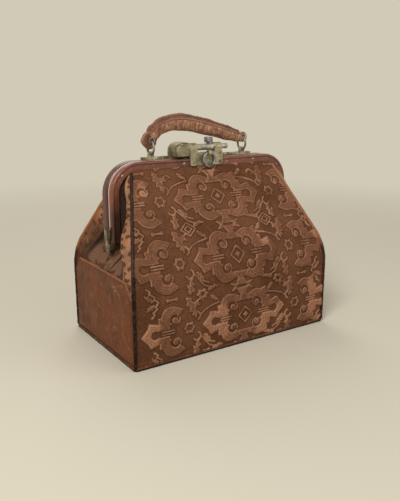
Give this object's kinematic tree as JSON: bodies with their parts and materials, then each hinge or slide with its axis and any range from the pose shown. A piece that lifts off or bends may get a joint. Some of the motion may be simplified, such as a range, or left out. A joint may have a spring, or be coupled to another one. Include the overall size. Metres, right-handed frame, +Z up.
{
  "type": "satchel",
  "caption": "Hinged-frame carpet satchel with raised figure, leather-covered jaws, brass sliding lock, pull ring and a rolled leather handle on rings.",
  "frame": {"origin": "middle of the base, on the surface that the bag stands on", "axes": "+X along the jaws to the right, -Y the front with the lock, +Z up"},
  "size_m": [0.2984, 0.1744, 0.2863],
  "materials": {
    "carpet": "cut-pile carpet, worn",
    "brown_leather": "plain scuffed leather",
    "jaw_leather": "waxed leather",
    "handle_leather": "worn rolled leather",
    "piping_leather": "dark rolled leather",
    "board": "pasteboard covered with lining cloth",
    "steel": "dull steel",
    "brass": "tarnished brass"
  },
  "bodies": {
    "bag": {"base_panel": "brown_leather", "base_board": "board", "base_piping": "piping_leather", "front_board": "board", "back_board": "board", "left_board": "board", "right_board": "board", "front_panel": "carpet", "back_panel": "carpet", "left_gusset": "carpet", "right_gusset": "carpet", "front_left_piping": "piping_leather", "front_right_piping": "piping_leather", "back_left_piping": "piping_leather", "back_right_piping": "piping_leather", "left_side_patch": "brown_leather", "right_side_patch": "brown_leather", "left_hinge_pin": "brass", "right_hinge_pin": "brass"},
    "front_jaw": {"front_jaw_bow": "steel", "front_jaw_cover": "jaw_leather", "front_jaw_rivets": "brass", "front_hinge_rivets": "brass", "clasp_plate": "brass", "clasp_rivets": "brass", "left_front_hinge_leaf": "brass", "right_front_hinge_leaf": "brass", "left_bolt_keeper": "brass", "right_bolt_keeper": "brass"},
    "back_jaw": {"back_jaw_bow": "steel", "back_jaw_cover": "jaw_leather", "back_hinge_rivets": "brass", "handle_bar": "brass", "handle_bar_screws": "brass", "bolt_socket": "brass", "left_back_hinge_leaf": "brass", "right_back_hinge_leaf": "brass"},
    "bolt": {"lock_bolt": "steel", "bolt_knob": "steel"},
    "pull": {"pull_ring": "steel"},
    "left_ring": {"left_handle_ring": "steel"},
    "right_ring": {"right_handle_ring": "steel"},
    "handle": {"handle_grip": "handle_leather", "left_handle_eyelet": "brass", "right_handle_eyelet": "brass"}
  },
  "joints": [
    {"name": "front_jaw_open", "type": "hinge", "parent": "bag", "child": "front_jaw", "pos_m": [0, 0, 0.129], "axis": [1, 0, 0], "range_deg": [0, 45], "deforming": ["front_panel", "left_gusset", "right_gusset", "front_left_piping", "front_right_piping"]},
    {"name": "back_jaw_open", "type": "hinge", "parent": "bag", "child": "back_jaw", "pos_m": [0, 0, 0.129], "axis": [-1, 0, 0], "range_deg": [0, 45], "deforming": ["back_panel", "left_gusset", "right_gusset", "back_left_piping", "back_right_piping"]},
    {"name": "bolt_slide", "type": "slide", "parent": "front_jaw", "child": "bolt", "axis": [-1, 0, 0], "range_m": [0, 0.009]},
    {"name": "pull_ring_swing", "type": "hinge", "parent": "front_jaw", "child": "pull", "pos_m": [0.002, -0.0156, 0.2385], "axis": [-1, 0, 0], "range_deg": [0, 100]},
    {"name": "left_ring_turn", "type": "hinge", "parent": "back_jaw", "child": "left_ring", "pos_m": [-0.071, 0.00725, 0.2468], "axis": [-1, 0, 0], "continuous": true},
    {"name": "right_ring_turn", "type": "hinge", "parent": "back_jaw", "child": "right_ring", "pos_m": [0.071, 0.00725, 0.2468], "axis": [-1, 0, 0], "continuous": true},
    {"name": "handle_swing", "type": "hinge", "parent": "back_jaw", "child": "handle", "pos_m": [0, 0.00725, 0.2468], "axis": [-1, 0, 0], "range_deg": [-10, 110]}
  ]
}
